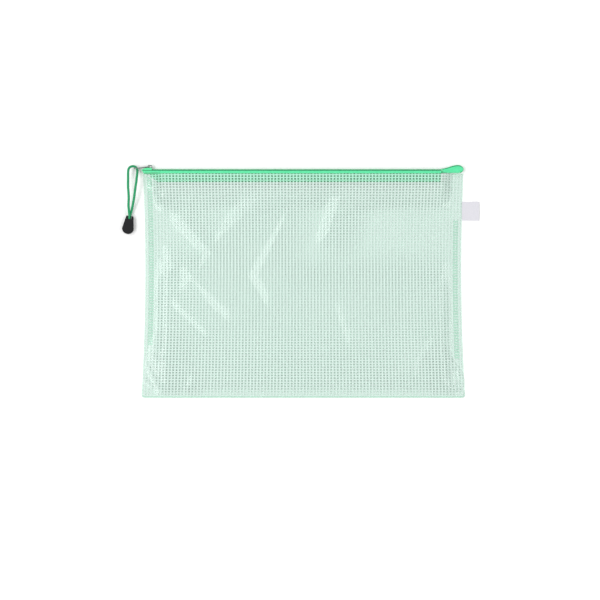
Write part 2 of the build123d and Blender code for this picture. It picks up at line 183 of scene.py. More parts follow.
# Zip tail: a flat fold that flares up to the right and ends round
TAIL_ENDS = (142.6, 165.4)
TAIL_FLARE = 160.0
TAIL_LOWER = 116.6
TAIL_UPPER = (120.4, 124.2)
TAIL_THICKNESS = 2.6
TAIL_EDGE = 0.35
TAIL_TIP = 0.01
TAIL_POINTS = (18, 14)
TAIL_ROWS = 13
TAIL_RIM_RADIUS = 1.15
TAIL_RIM_END = 8
TAIL_RIM_SIDES = 10

# Stitches: the arch of each one, and the shares of its thickness that dip in and stand proud
STITCH_LINE = 108.6
STITCH_PITCH = 3.1
STITCH_LENGTH = 2.3
STITCH_THICKNESS = 0.34
STITCH_ARCH = (0.0, 0.55, 0.9, 1.0, 0.9, 0.55, 0.0)
STITCH_DIP = 0.8
STITCH_PROUD = 0.2
STITCH_SIDES = 6

# Pull cord: the route's points and the braid
CORD_DIAMETER = 2.6
CORD_ROUTE = (
    (-180.2, 66.3, 5.5), (-179.5, 71.1, 5.5), (-180.2, 77.4, 6.1), (-180.6, 83.6, 7.4),
    (-180.0, 89.8, 8.8), (-180.2, 96.0, 10.0), (-180.7, 102.6, 10.9), (-180.5, 109.4, 11.3),
    (-180.6, 115.4, 11.0), (-180.4, 120.3, 9.2), (-178.9, 122.7, 7.2), (-176.3, 123.6, 5.6),
    (-173.9, 123.1, 4.6), (-172.2, 121.5, 4.4), (-171.6, 119.1, 4.7), (-171.4, 116.7, 6.7),
    (-171.5, 114.1, 9.2), (-171.7, 110.6, 10.9), (-172.1, 106.4, 11.2), (-173.2, 100.0, 10.8),
    (-174.4, 91.6, 9.0), (-175.9, 84.0, 6.7), (-177.7, 77.4, 4.2), (-179.5, 71.1, 2.8),
    (-180.2, 66.3, 2.8),
)
ROUTE_ORDER = 3
ROUTE_STEPS = 24
CORD_STRANDS = 8
CORD_LAY = 1.7
CORD_SIDES = 48
BRAID_DEPTH = 0.16

# Side tag: how far its free edge lifts, and the wave along that edge
TAG_POINTS = (28, 24)
TAG_HALF_THICKNESS = 0.16
TAG_LIFT = 0.9
TAG_FLAT = 0.3
TAG_WAVE = 0.4
TAG_WAVE_LENGTH = 6.0

# Hard pieces: edges sharper than this many degrees are eased, in this many steps
EASED_ANGLE = 35.0
EASED_STEPS = 2

# Studio: floor, surround, and each light's place, aim, size and power
FLOOR_REACH = 4000.0
FLOOR_LEVEL = -0.02
FLOOR_POINTS = 9
WORLD_STRENGTH = 0.64
LIGHTS = (
    ("softbox", (-880.0, 40.0, 1500.0), (-60.0, 40.0, 0.0), (1700.0, 640.0), 17.0),
    ("fill", (900.0, 60.0, 1500.0), (100.0, 60.0, 0.0), (1500.0, 500.0), 8.0),
)
CLEAR_BOUNCES = 32

# Camera: the middle of the photograph and the width that it takes in
CAMERA_AIM = (-3.4, -14.8, 4.0)
PICTURE_WIDTH = 620.7
LENS = 100.0
SENSOR = 36.0


def smooth(t):
    """Eases from 0 to 1."""
    t = np.clip(t, 0.0, 1.0)
    return t * t * (3.0 - 2.0 * t)


def ease_through(knots, at):
    """A curve that is level at each knot and eases from one to the next."""
    places, values = np.array(knots, float).T
    step = np.clip(np.searchsorted(places, at) - 1, 0, len(places) - 2)
    share = smooth((at - places[step]) / (places[step + 1] - places[step]))
    return values[step] + (values[step + 1] - values[step]) * share


def two_spans(low, middle, high, counts):
    """Places from low to high, spaced in one way up to the middle and in another past it."""
    return np.concatenate([np.linspace(low, middle, counts[0]), np.linspace(middle, high, counts[1])[1:]])


def distance(line, x, y):
    """How far places lie from a line of points, and how much to its left (1) or right (-1)."""
    least = np.full(np.broadcast(x, y).shape, np.inf)
    lean = np.zeros_like(least)
    for number, ((ax, ay), (bx, by)) in enumerate(zip(line, line[1:])):
        run_x, run_y = bx - ax, by - ay
        length = math.hypot(run_x, run_y)
        share = ((x - ax) * run_x + (y - ay) * run_y) / length ** 2
        along = np.clip(share, 0.0, 1.0)
        apart = np.hypot(x - ax - along * run_x, y - ay - along * run_y)
        across = (run_x * (y - ay) - run_y * (x - ax)) / length
        at_bend = ((share < 0.0) & (number > 0)) | ((share > 1.0) & (number < len(line) - 2))
        side = np.where(at_bend, np.sign(across), across / np.maximum(apart, TINY))
        lean = np.where(apart < least, side, lean)
        least = np.minimum(least, apart)
    return least, lean


def ridge(line, width, height, x, y):
    """The height of a soft ridge along a line of points."""
    apart, _ = distance(line, x, y)
    return height * np.exp(-(apart / width) ** 2)


def crease(line, side, reach, height, x, y):
    """The height of a crease with a steep flank on one side and a gentle one on the other."""
    apart, lean = distance(line, x, y)
    flank = reach * (1.0 + (GENTLE_FLANK - 1.0) * (1.0 - side * lean) / 2.0)
    return height * np.clip(1.0 - apart / flank, 0.0, 1.0)


# Meshes

def grid_faces(rows, cols, first=0):
    """Faces with four corners between the points of a grid."""
    index = first + np.arange(rows * cols).reshape(rows, cols)
    return np.stack([index[:-1, :-1], index[:-1, 1:], index[1:, 1:], index[1:, :-1]], -1).reshape(-1, 4)


def sheet_solid(x, y, upper, lower):
    """Points and faces of a closed sheet over a grid of places, between two heights."""
    x, y, upper, lower = np.broadcast_arrays(x, y, upper, lower)
    rows, cols = x.shape
    count = rows * cols
    index = np.arange(count).reshape(rows, cols)
    rim = np.concatenate([index[0, :-1], index[:-1, -1], index[-1, :0:-1], index[:0:-1, 0]])
    after = np.roll(rim, -1)
    sides = np.stack([rim, rim + count, after + count, after], -1)
    faces = np.concatenate([grid_faces(rows, cols), grid_faces(rows, cols, count)[:, ::-1], sides])
    points = [np.stack([x, y, z], -1).reshape(-1, 3) for z in (upper, lower)]
    return np.concatenate(points), faces.tolist()


def tube_solid(rings):
    """Points and faces of a closed solid through rings of points."""
    stations, sides = rings.shape[:2]
    index = np.arange(stations * sides).reshape(stations, sides)
    beside = np.roll(index, -1, axis=1)
    walls = np.stack([index[:-1], beside[:-1], beside[1:], index[1:]], -1).reshape(-1, 4)
    return rings.reshape(-1, 3), walls.tolist() + [index[0, ::-1].tolist(), index[-1].tolist()]


def joined(solids):
    """Many solids as one set of points and faces."""
    points, faces, count = [], [], 0
    for some_points, some_faces in solids:
        points.append(some_points)
        faces.extend([[corner + count for corner in face] for face in some_faces])
        count += len(some_points)
    return np.concatenate(points), faces


def new_piece(name, solid, material, sharp=SHARP_ANGLE):
    """A mesh piece from a solid's points, in millimetres, and faces."""
    points, faces = solid
    mesh = bpy.data.meshes.new(name)
    mesh.from_pydata((np.asarray(points) * MM).tolist(), [], faces)
    shape = bmesh.new()
    shape.from_mesh(mesh)
    bmesh.ops.recalc_face_normals(shape, faces=shape.faces)
    shape.to_mesh(mesh)
    shape.free()
    mesh.polygons.foreach_set("use_smooth", [True] * len(mesh.polygons))
    mesh.set_sharp_from_angle(angle=math.radians(sharp))
    mesh.materials.append(material)
    piece = bpy.data.objects.new(name, mesh)
    bpy.context.scene.collection.objects.link(piece)
    return piece


def across_line(points):
    """Two unit directions across a line at each of its points, which don't twist along it."""
    ahead = np.gradient(points, axis=0)
    ahead /= np.linalg.norm(ahead, axis=1, keepdims=True)
    side = np.zeros_like(points)
    first = np.cross(ahead[0], (0.0, 0.0, 1.0))
    side[0] = first / np.linalg.norm(first)
    for i in range(1, len(points)):
        turned = side[i - 1] - ahead[i] * np.dot(side[i - 1], ahead[i])
        side[i] = turned / np.linalg.norm(turned)
    return side, np.cross(ahead, side)


def rod_solid(points, radius, sides):
    """Points and faces of a round rod along a line of points."""
    side, up = across_line(points)
    angle = np.linspace(0.0, 2.0 * math.pi, sides, endpoint=False)
    across = np.cos(angle)[None, :, None] * side[:, None] + np.sin(angle)[None, :, None] * up[:, None]
    radii = np.broadcast_to(radius, (len(points), sides))
    return tube_solid(points[:, None] + across * radii[..., None])


# Materials

def colour(red, green, blue):
    """A linear colour from one written in 0 to 255."""
    parts = [channel / 255.0 for channel in (red, green, blue)]
    return [part / 12.92 if part <= 0.04045 else ((part + 0.055) / 1.055) ** 2.4 for part in parts] + [1.0]


class Shading:
    """A node material with a Principled shader and a place to hang texture nodes."""

    def __init__(self, name, finish):
        self.material = bpy.data.materials.new(name)
        self.material.use_nodes = True
        self.nodes = self.material.node_tree.nodes
        self.links = self.material.node_tree.links
        self.shader = self.nodes["Principled BSDF"]
        for socket, value in finish.items():
            self.shader.inputs[socket].default_value = value

    def place(self, size):
        """Object coordinates in units of the given size, in millimetres: one number or three."""
        source = self.nodes.new("ShaderNodeTexCoord")
        scaled = self.nodes.new("ShaderNodeMapping")
        scaled.inputs["Scale"].default_value = [1.0 / (MM * part) for part in np.broadcast_to(size, 3)]
        self.links.new(source.outputs["Object"], scaled.inputs["Vector"])
        return scaled.outputs["Vector"]

    def noise(self, size, detail=5.0, rough=0.55):
        """Soft blotches of the given size."""
        texture = self.nodes.new("ShaderNodeTexNoise")
        texture.inputs["Scale"].default_value = 1.0
        texture.inputs["Detail"].default_value = detail
        texture.inputs["Roughness"].default_value = rough
        self.links.new(self.place(size), texture.inputs["Vector"])
        return texture.outputs["Fac"]

    def bands(self, direction, pitch, distortion=0.0):
        """Soft bands across an axis, a pitch apart: the scale gives the texture a period of one unit."""
        texture = self.nodes.new("ShaderNodeTexWave")
        texture.bands_direction = direction
        texture.inputs["Scale"].default_value = math.pi / 10.0
        texture.inputs["Distortion"].default_value = distortion
        self.links.new(self.place(pitch), texture.inputs["Vector"])
        return texture.outputs["Fac"]

    def carried(self, name):
        """A value that the mesh carries at its points."""
        source = self.nodes.new("ShaderNodeAttribute")
        source.attribute_name = name
        return source.outputs["Fac"]

    def both(self, first, second, operation="MULTIPLY"):
        """One factor made of two."""
        joint = self.nodes.new("ShaderNodeMath")
        joint.operation = operation
        self.links.new(first, joint.inputs[0])
        self.links.new(second, joint.inputs[1])
        return joint.outputs["Value"]

    def tint(self, factor, low, high, start=0.3, end=0.7):
        """Colours the surface from low to high as the factor goes from start to end."""
        ramp = self.nodes.new("ShaderNodeValToRGB")
        ramp.color_ramp.elements[0].position = start
        ramp.color_ramp.elements[0].color = low
        ramp.color_ramp.elements[1].position = end
        ramp.color_ramp.elements[1].color = high
        self.links.new(factor, ramp.inputs["Fac"])
        self.links.new(ramp.outputs["Color"], self.shader.inputs["Base Color"])

    def roughness(self, factor, low, high):
        """Varies the roughness with a factor."""
        spread = self.nodes.new("ShaderNodeMapRange")
        spread.inputs["To Min"].default_value = low
        spread.inputs["To Max"].default_value = high
        self.links.new(factor, spread.inputs["Value"])
        self.links.new(spread.outputs["Result"], self.shader.inputs["Roughness"])

    def relief(self, factor, depth):
        """A fine grain in the shading, up to a depth in millimetres."""
        bump = self.nodes.new("ShaderNodeBump")
        bump.inputs["Strength"].default_value = 1.0
        bump.inputs["Distance"].default_value = depth * MM
        self.links.new(factor, bump.inputs["Height"])
        self.links.new(bump.outputs["Normal"], self.shader.inputs["Normal"])

    def clear(self, share, tint):
        """Lets a share of the light straight through, tinted."""
        gap = self.nodes.new("ShaderNodeBsdfTransparent")
        gap.inputs["Color"].default_value = tint
        mix = self.nodes.new("ShaderNodeMixShader")
        mix.inputs["Fac"].default_value = share
        self.links.new(self.shader.outputs["BSDF"], mix.inputs[1])
        self.links.new(gap.outputs["BSDF"], mix.inputs[2])
        self.links.new(mix.outputs["Shader"], self.nodes["Material Output"].inputs["Surface"])


def film_material():
    look = Shading("film", {"Specular IOR Level": 1.0, "IOR": 1.55, "Coat Weight": 1.0,
                            "Coat Roughness": 0.1})
    cloud = look.noise(40.0)
    look.tint(cloud, colour(234, 244, 239), colour(242, 248, 245))
    look.roughness(look.noise(3.0), 0.1, 0.18)
    look.relief(look.noise(2.5, detail=2.0), 0.005)
    look.clear(0.9, colour(249, 253, 251))
    return look.material


def yarn_material(name, low, high, share):
    look = Shading(name, {"Specular IOR Level": 0.3})
    fibre = look.noise(0.5, detail=3.0)
    look.tint(fibre, low, high)
    look.roughness(fibre, 0.55, 0.75)
    look.relief(fibre, 0.03)
    look.clear(share, colour(252, 255, 254))
    return look.material


def weld_material():
    look = Shading("weld", {"Specular IOR Level": 0.8, "Coat Weight": 0.5, "Coat Roughness": 0.15})
    cloud = look.noise(8.0)
    look.tint(cloud, colour(211, 243, 229), colour(226, 249, 239))
    look.roughness(cloud, 0.2, 0.4)
    look.relief(look.noise(1.0), 0.05)
    look.clear(0.7, colour(240, 252, 246))
    return look.material


def tape_material(name, low, high):
    look = Shading(name, {"Specular IOR Level": 0.2, "Sheen Weight": 0.25, "Sheen Roughness": 0.5})
    weave = look.both(look.bands("X", 0.9), look.bands("Y", 0.7))
    patchy = look.both(weave, look.noise(2.5), "ADD")
    look.tint(patchy, low, high, 0.3, 1.2)
    look.roughness(weave, 0.6, 0.85)
    look.relief(weave, 0.12)
    return look.material


# The coil is dyed the tape's green; here its colour is painted darker than the tape as shade
def shaded_coil_material():
    look = Shading("coil", {"Specular IOR Level": 0.2})
    grain = look.noise(1.2)
    look.tint(grain, colour(34, 152, 98), colour(50, 172, 114))
    look.roughness(grain, 0.35, 0.5)
    look.relief(grain, 0.03)
    return look.material


def thread_material():
    look = Shading("thread", {"Specular IOR Level": 0.25, "Sheen Weight": 0.2})
    twist = look.bands("X", 0.45, distortion=2.0)
    look.tint(twist, colour(96, 204, 150), colour(142, 234, 186))
    look.roughness(twist, 0.5, 0.75)
    look.relief(twist, 0.05)
    return look.material


def paint_material():
    look = Shading("slider_paint", {"Specular IOR Level": 0.6, "Coat Weight": 0.6, "Coat Roughness": 0.1})
    peel = look.noise(0.8, detail=3.0)
    look.tint(peel, colour(58, 200, 132), colour(80, 222, 152))
    look.roughness(peel, 0.22, 0.36)
    look.relief(peel, 0.02)
    return look.material


def metal_material():
    look = Shading("bare_metal", {"Metallic": 1.0})
    brushed = look.noise((3.0, 0.12, 0.12), detail=4.0)
    look.tint(brushed, colour(96, 104, 100), colour(142, 150, 146))
    look.roughness(brushed, 0.3, 0.5)
    look.relief(brushed, 0.015)
    return look.material


def cord_material():
    look = Shading("cord", {"Specular IOR Level": 0.25, "Sheen Weight": 0.3, "Sheen Roughness": 0.4})
    fibre = look.noise(0.35, detail=4.0)
    # Painted shade: darker in the pits between the braid's strands, over a random fibre tone
    braid_shade_and_fibre = look.both(look.carried("braid_pit_shade"), fibre, "ADD")
    look.tint(braid_shade_and_fibre, colour(9, 80, 48), colour(42, 154, 102), 0.5, 1.4)
    look.roughness(fibre, 0.6, 0.85)
    look.relief(fibre, 0.06)
    return look.material


def rubber_material():
    look = Shading("cord_end", {"Specular IOR Level": 0.15})
    spark = look.noise(0.45, detail=6.0, rough=0.7)
    look.tint(spark, colour(13, 13, 15), colour(27, 27, 30))
    look.roughness(spark, 0.4, 0.6)
    look.relief(spark, 0.05)
    return look.material


def tag_material():
    look = Shading("tag", {"Specular IOR Level": 0.25, "Sheen Weight": 0.2})
    weave = look.both(look.bands("X", 0.55), look.bands("Y", 0.4))
    look.tint(weave, colour(204, 203, 210), colour(224, 223, 228), 0.1, 0.8)
    look.roughness(weave, 0.55, 0.75)
    look.relief(weave, 0.05)
    return look.material


FILM = film_material()
YARN = yarn_material("yarn", colour(236, 246, 243), colour(244, 252, 249), 0.47)
# Yarn painted green over the tape, as painted light thrown up from the tape below
YARN_PAINTED_TAPE_LIGHT = yarn_material("yarn_painted_tape_light", colour(184, 243, 219), colour(202, 250, 230), 0.3)
WELD = weld_material()
TAPE = tape_material("tape", colour(70, 204, 140), colour(102, 230, 170))
# The tape's own green painted darker, as shade under the film and its yarns
TAPE_PAINTED_SHADE = tape_material("tape_painted_shade", colour(14, 122, 72), colour(30, 150, 94))
SHADED_COIL = shaded_coil_material()
THREAD = thread_material()
PAINT = paint_material()
METAL = metal_material()
CORD = cord_material()
RUBBER = rubber_material()
TAG = tag_material()


# Halves of the front

HALVES = {"left": -1.0, "right": 1.0}


def bend_half(piece):
    """Bakes the place of half of a front piece into its mesh."""
    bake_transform(piece)


# Film panels

def edge_at(y):
    """Half the film's width, which is waisted below the zip."""
    places, widths = np.array(EDGE_KNOTS).T
    return np.polyval(np.polyfit(places, widths, 2), y)


def crumple(x, y):
    """How far handling has lifted both films near the corners."""
    return sum(ridge(*values, x, y) for values in CRUMPLES) + sum(crease(*values, x, y) for values in FOLDS)


def leg_cut(x):
    """Where the tapes' legs end at x, which is aslant at the left end."""
    return np.interp(x, *np.array(LEG_CUT).T)


def front_level(x, y):
    """Height of the front film's middle surface."""
    lip_share = smooth((y - LIP_START) / (FILM_TOP - LIP_START))
    shoulder = CROWN_HALF_WIDTH + (LIP_HALF_WIDTH - CROWN_HALF_WIDTH) * lip_share
    open_share = smooth((SEAM_HALF_WIDTH - np.abs(x)) / (SEAM_HALF_WIDTH - shoulder))
    rise = (ease_through(FRONT_PROFILE, y) - WELD_LEVEL) * open_share
    handled = np.maximum.reduce([crease(*values, x, y) for values in CREASES])
    below_zip = smooth((LOOSE_TOP - y) / LOOSE_TOP_FADE)
    above_weld = smooth((y - LOOSE_BOTTOM) / LOOSE_BOTTOM_FADE)
    loose = below_zip * above_weld * open_share
    over_legs = LEG_STACK * smooth((y - leg_cut(x) + LEG_EASE) / LEG_EASE) * (x < 0.0)
    return WELD_LEVEL + np.maximum(rise, over_legs) + handled * loose + crumple(x, y)


def back_level(x, y):
    """Height of the back film's middle surface."""
    return BACK_LEVEL + crumple(x, y)


def corner_lift(x, y):
    """How far the bottom edge rises at its rounded corners."""
    into = np.clip(np.abs(x) - (edge_at(FILM_BOTTOM) - CORNER_RADIUS), 0.0, CORNER_RADIUS)
    lift = CORNER_RADIUS - np.sqrt(CORNER_RADIUS ** 2 - into ** 2)
    return lift * smooth((FILM_BOTTOM + CORNER_FADE - y) / CORNER_FADE)


def film_solid(level, low, high):
    """A closed film between two shares of the half width, on a grid that is finer near the corners."""
    half = two_spans(0.0, FINE_SHARE, 1.0, FILM_COLUMNS)
    shares = np.concatenate([-half[:0:-1], half])
    shares = shares[(shares >= low) & (shares <= high)]
    y = two_spans(FILM_BOTTOM, FINE_BELOW, FILM_TOP, FILM_ROWS)[:, None]
    x = shares[None, :] * edge_at(y)
    y = y + corner_lift(x, y)
    z = level(x, y)
    skin = FILM_THICKNESS / 2.0
    return sheet_solid(x, y, z + skin, z - skin)


def yarn_solid(level, x, y, width, along_y, lift):
    """A flat yarn inside the film, along a line of points."""
    half = width / 2.0
    sides = ((-half, 0.0), (half, 0.0)) if along_y else ((0.0, -half), (0.0, half))
    rims = []
    for (across, up), thick in zip((sides[0], sides[1], sides[1], sides[0]), (-1.0, -1.0, 1.0, 1.0)):
        rim_x, rim_y = x + across, y + up
        rim_z = level(rim_x, rim_y) + lift + thick * YARN_THICKNESS / 2.0
        rims.append(np.stack([rim_x, rim_y, rim_z], -1))
    return tube_solid(np.stack(rims, 1))


def net_solid(level, low, high, weft_points, shift=0.0, lean=0.0):
    """The yarns of one film between two shares of the half width, with finer wefts over the tapes."""
    solids = []
    widest = edge_at(FILM_TOP)
    y = two_spans(FILM_BOTTOM + YARN_MARGIN, LEG_EDGE, FILM_TOP - YARN_MARGIN, WARP_POINTS)
    count = int((widest - WARP_WIDTH) / WARP_PITCH)
    for number in range(-count, count + 1):
        flat_x = number * WARP_PITCH + shift
        if low * widest <= flat_x < high * widest:
            x = flat_x / widest * edge_at(y) + lean * y
            solids.append(yarn_solid(level, x, y, WARP_WIDTH, True, YARN_LIFT))
    for flat_y in np.arange(FILM_BOTTOM + WEFT_START, FILM_TOP - YARN_MARGIN, WEFT_PITCH):
        reach = edge_at(flat_y) - YARN_MARGIN
        points = 2 * weft_points if flat_y > LEG_EDGE else weft_points
        x = np.linspace(max(low * reach, -reach), min(high * reach, reach), points)
        solids.append(yarn_solid(level, x, np.full(points, flat_y), WEFT_WIDTH, False, -YARN_LIFT))
    return joined(solids)


def new_net(name, solid):
    """A film's yarns, painted green where they lie over the tape, as painted light from the tape below."""
    net = new_piece(name, solid, YARN)
    net.data.materials.append(YARN_PAINTED_TAPE_LIGHT)
    # Faces over the tape take the painted tape light
    for face in net.data.polygons:
        x, y, _ = face.center / MM
        face.material_index = int(x < ZIP_RIGHT and y > leg_cut(x))
    return net


def make_back_film():
    """The back film with its yarns."""
    film = new_piece("back_film", film_solid(back_level, -1.0, 1.0), FILM)
    yarns = net_solid(back_level, -1.0, 1.0, BACK_WEFT_POINTS, BACK_NET_SHIFT, BACK_NET_LEAN)
    net = new_net("back_net", yarns)
    for piece in (film, net):
        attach(piece, "root")
    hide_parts("back_panel")
    size = (2.0 * edge_at(0.0) * MM, (FILM_TOP - FILM_BOTTOM) * MM)
    return film


def make_front_film(side):
    """Half of the front film with its yarns."""
    sign = HALVES[side]
    low, high = min(sign, 0.0), max(sign, 0.0)
    film = new_piece("front_film_" + side, film_solid(front_level, low, high), FILM)
    net = new_net("front_net_" + side, net_solid(front_level, low, high, FRONT_WEFT_POINTS))
    for piece in (film, net):
        bend_half(piece)
    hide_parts("front_panel", "front_panel_sides")
    size = (edge_at(0.0) * MM, (FILM_TOP - FILM_BOTTOM) * MM)


def weld_solid(x, y, height, swell):
    """A raised stretch of weld on the front film."""
    lower = front_level(x, y) + FILM_THICKNESS / 2.0
    return sheet_solid(x, y, lower + WELD_RIM + height * swell, lower)


def ladder_solid(side):
    """The rungs of a welded side, one at each weft yarn along the part of it that shows them."""
    rungs = []
    across = np.linspace(0.0, 1.0, len(RUNG_SWELL))[None, :]
    swell = np.array(RUNG_SWELL)[None, :] * np.array(WELD_SWELL)[:, None]
    low, high = LADDER_SPANS[side]
    wefts = np.arange(FILM_BOTTOM + WEFT_START, FILM_TOP - WEFT_START, WEFT_PITCH)
    for line in wefts[(wefts > low) & (wefts < high)]:
        y = line + RUNG_WIDTH * np.array(RUNG_SECTION)[:, None]
        x = HALVES[side] * (edge_at(y) - LADDER_INSET - LADDER_WIDTH * across)
        rungs.append(weld_solid(x, y, RUNG_HEIGHT, swell))
    return joined(rungs)


def rib_solid(low, high):
    """The raised rib along the bottom weld, between two shares of the half width."""
    y = RIB_LINE + RIB_WIDTH * np.array(RIB_SECTION)[:, None]
    x = np.linspace(low, high, RIB_POINTS)[None, :] * (edge_at(RIB_LINE) - RIB_MARGIN)
    y = y + corner_lift(x, y)
    return weld_solid(x, y, RIB_HEIGHT, np.array(WELD_SWELL)[:, None])


def make_welds(side):
    """The ladder of one side and half of the bottom rib."""
    sign = HALVES[side]
    ladder = new_piece("side_weld_" + side, ladder_solid(side), WELD)
    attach(ladder, "root")
    rib = new_piece("bottom_weld_" + side, rib_solid(min(sign, 0.0), max(sign, 0.0)), WELD)
    bend_half(rib)


back_film = make_back_film()
for half in HALVES:
    make_front_film(half)
    make_welds(half)


# Zip

def tape_line(x, facing):
    """Middle line of a tape's section at x: along its leg, round the bend and down to the coil."""
    corner = TAPE_OUTER_EDGE - TAPE_BEND
    leg_y = np.linspace(leg_cut(x), corner, LEG_POINTS)
    under = (FILM_THICKNESS + TAPE_THICKNESS) / 2.0
    film = np.minimum(leg_y, FILM_TOP)
    if facing > 0:
        leg_z = front_level(np.full(len(film), x), film) - under
    else:
        leg_z = back_level(np.full(len(film), x), film) + under
    full = ZIP_MIDDLE + facing * (ZIP_HALF_HEIGHT - TAPE_THICKNESS / 2.0)
    leg_z = leg_z + (full - leg_z) * smooth((leg_y - FILM_TOP) / (corner - FILM_TOP))
    turn = np.linspace(0.0, math.pi / 2.0, BEND_POINTS)[1:]
    bend_y = corner + TAPE_BEND * np.sin(turn)
    bend_z = full - facing * TAPE_BEND * (1.0 - np.cos(turn))
    web_z = np.linspace(bend_z[-1], ZIP_MIDDLE + facing * WEB_INNER, WEB_POINTS)[1:]
    web_y = np.full(len(web_z), TAPE_OUTER_EDGE)
    return np.stack([np.concatenate([leg_y, bend_y, web_y]), np.concatenate([leg_z, bend_z, web_z])], -1)


def tape_solid(low, high, facing):
    """A tape through its sections along X."""
    rings = []
    for x in np.linspace(low, high, int((high - low) / TAPE_STEP) + 2):
        line = tape_line(x, facing)
        ahead = np.gradient(line, axis=0)
        ahead /= np.linalg.norm(ahead, axis=1, keepdims=True)
        across = np.stack([-ahead[:, 1], ahead[:, 0]], -1) * TAPE_THICKNESS / 2.0
        section = np.concatenate([line + across, (line - across)[::-1]])
        rings.append(np.column_stack([np.full(len(section), x), section]))
    return tube_solid(np.stack(rings))


def coil_solid(low, high, facing, phase):
    """One half of the zip's nylon coil, a flattened helix."""
    turns = (high - low) / COIL_PITCH
    middle_z = ZIP_MIDDLE + facing * COIL_MIDDLE[1]
    angle = np.linspace(0.0, 2.0 * math.pi * turns, int(turns * COIL_TURN_POINTS) + 1)
    x = low + angle / (2.0 * math.pi) * COIL_PITCH
    y = COIL_MIDDLE[0] + COIL_HALF[0] * np.cos(angle + phase)
    z = middle_z + facing * COIL_HALF[1] * np.sin(angle + phase)
    loops = rod_solid(np.stack([x, y, z], -1), FILAMENT / 2.0, FILAMENT_SIDES)
    core = np.linspace((low, COIL_MIDDLE[0], middle_z), (high, COIL_MIDDLE[0], middle_z), CORE_POINTS)
    return joined([loops, rod_solid(core, COIL_CORE / 2.0, CORE_SIDES)])


def stitch_solid(low, high, level, above):
    """A row of separate stitches that dip into the film at their ends."""
    solids = []
    arch = np.array(STITCH_ARCH)
    for x in np.arange(low + STITCH_PITCH, high - STITCH_PITCH / 2.0, STITCH_PITCH):
        run = x + STITCH_LENGTH * (np.linspace(0.0, 1.0, len(arch)) - 0.5)
        line = np.full(len(arch), STITCH_LINE)
        z = level(run, line) + above + (arch - 1.0) * STITCH_THICKNESS * STITCH_DIP
        solids.append(rod_solid(np.stack([run, line, z], -1), STITCH_THICKNESS / 2.0, STITCH_SIDES))
    return joined(solids)


def new_tape(name, low, high, facing):
    """A tape whose green is painted darker as shade where the film covers it, with a bright bare folded
    edge.
    """
    tape = new_piece(name, tape_solid(low, high, facing), TAPE)
    tape.data.materials.append(TAPE_PAINTED_SHADE)
    for face in tape.data.polygons:
        # Faces under the film take the painted shade
        face.material_index = int(face.center.y < TAPE_SHOWN * MM)
    return tape


def make_back_zip():
    """The back tape with its coil and stitches."""
    tape = new_tape("back_tape", ZIP_LEFT, ZIP_RIGHT, -1.0)
    winding = coil_solid(ZIP_LEFT, ZIP_RIGHT, -1.0, 0.0)
    coil = new_piece("back_coil", winding, SHADED_COIL, sharp=ROUND_ANGLE)
    above = FILM_THICKNESS / 2.0 + TAPE_THICKNESS + STITCH_THICKNESS * STITCH_PROUD
    stitches = stitch_solid(LEG_START, ZIP_RIGHT, back_level, above)
    row = new_piece("back_stitches", stitches, THREAD)
    for piece, node in ((tape, "back_zip_tape"), (coil, "back_zip_coil"), (row, "back_tape_stitch")):
        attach(piece, "root")
        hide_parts(node)


def make_front_zip(side):
    """Half of the front tape with its coil and stitches."""
    low, high = (ZIP_LEFT, 0.0) if side == "left" else (0.0, ZIP_RIGHT)
    tape = new_tape("front_tape_" + side, low, high, 1.0)
    winding = coil_solid(low, high, 1.0, math.pi)
    coil = new_piece("front_coil_" + side, winding, SHADED_COIL, sharp=ROUND_ANGLE)
    above = FILM_THICKNESS / 2.0 + STITCH_THICKNESS * STITCH_PROUD
    stitches = stitch_solid(max(low, LEG_START), high, front_level, above)
    row = new_piece("front_stitches_" + side, stitches, THREAD)
    for piece, node in ((tape, "front_zip_tape"), (coil, "front_zip_coil"), (row, "front_tape_stitch")):
        bend_half(piece)
        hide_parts(node, node + "_ends")


def tail_edges(x):
    """Lower and upper edge of the zip's free tail at x."""
    left, right = TAIL_ENDS
    upper = TAIL_UPPER[0] + (TAIL_UPPER[1] - TAIL_UPPER[0]) * smooth((x - left) / (TAIL_FLARE - left))
    middle, half = (upper + TAIL_LOWER) / 2.0, (upper - TAIL_LOWER) / 2.0
    past = np.clip((x - TAIL_FLARE) / (right - TAIL_FLARE), 0.0, 1.0)
    taper = np.sqrt(np.clip(1.0 - past ** 2, TAIL_TIP, 1.0))
    return middle - half * taper, middle + half * taper


def make_tail():
    """The zip's closed end: both tapes folded together, with the coil along the top and round the end."""
    x = two_spans(TAIL_ENDS[0], TAIL_FLARE, TAIL_ENDS[1], TAIL_POINTS)
    lower, upper = tail_edges(x)
    share = np.linspace(0.0, 1.0, TAIL_ROWS)[:, None]
    y = lower + (upper - lower) * share
    pillow = np.sqrt(np.clip(1.0 - (2.0 * share - 1.0) ** 4, 0.0, 1.0))
    half = TAIL_THICKNESS / 2.0 * (TAIL_EDGE + (1.0 - TAIL_EDGE) * pillow)
    tail = new_piece("zip_tail_fold", sheet_solid(x, y, ZIP_MIDDLE + half, ZIP_MIDDLE - half), TAPE)
    inset = TAIL_RIM_RADIUS / 2.0
    level = np.full(len(x), ZIP_MIDDLE)
    over = np.stack([x, upper - inset, level], -1)
    over[:, 0] -= inset * smooth((x - TAIL_FLARE) / (TAIL_ENDS[1] - TAIL_FLARE))
    under = np.stack([x - inset, lower + inset, level], -1)
    line = np.concatenate([over, under[:-TAIL_RIM_END - 1:-1]])
    # The rim takes the coil's painted shade
    rim = new_piece("zip_tail_rim", rod_solid(line, TAIL_RIM_RADIUS, TAIL_RIM_SIDES), SHADED_COIL)
    for piece in (tail, rim):
        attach(piece, "root")
        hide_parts("zip_tail")


make_back_zip()
make_tail()
for half in HALVES:
    make_front_zip(half)


# Pull cord

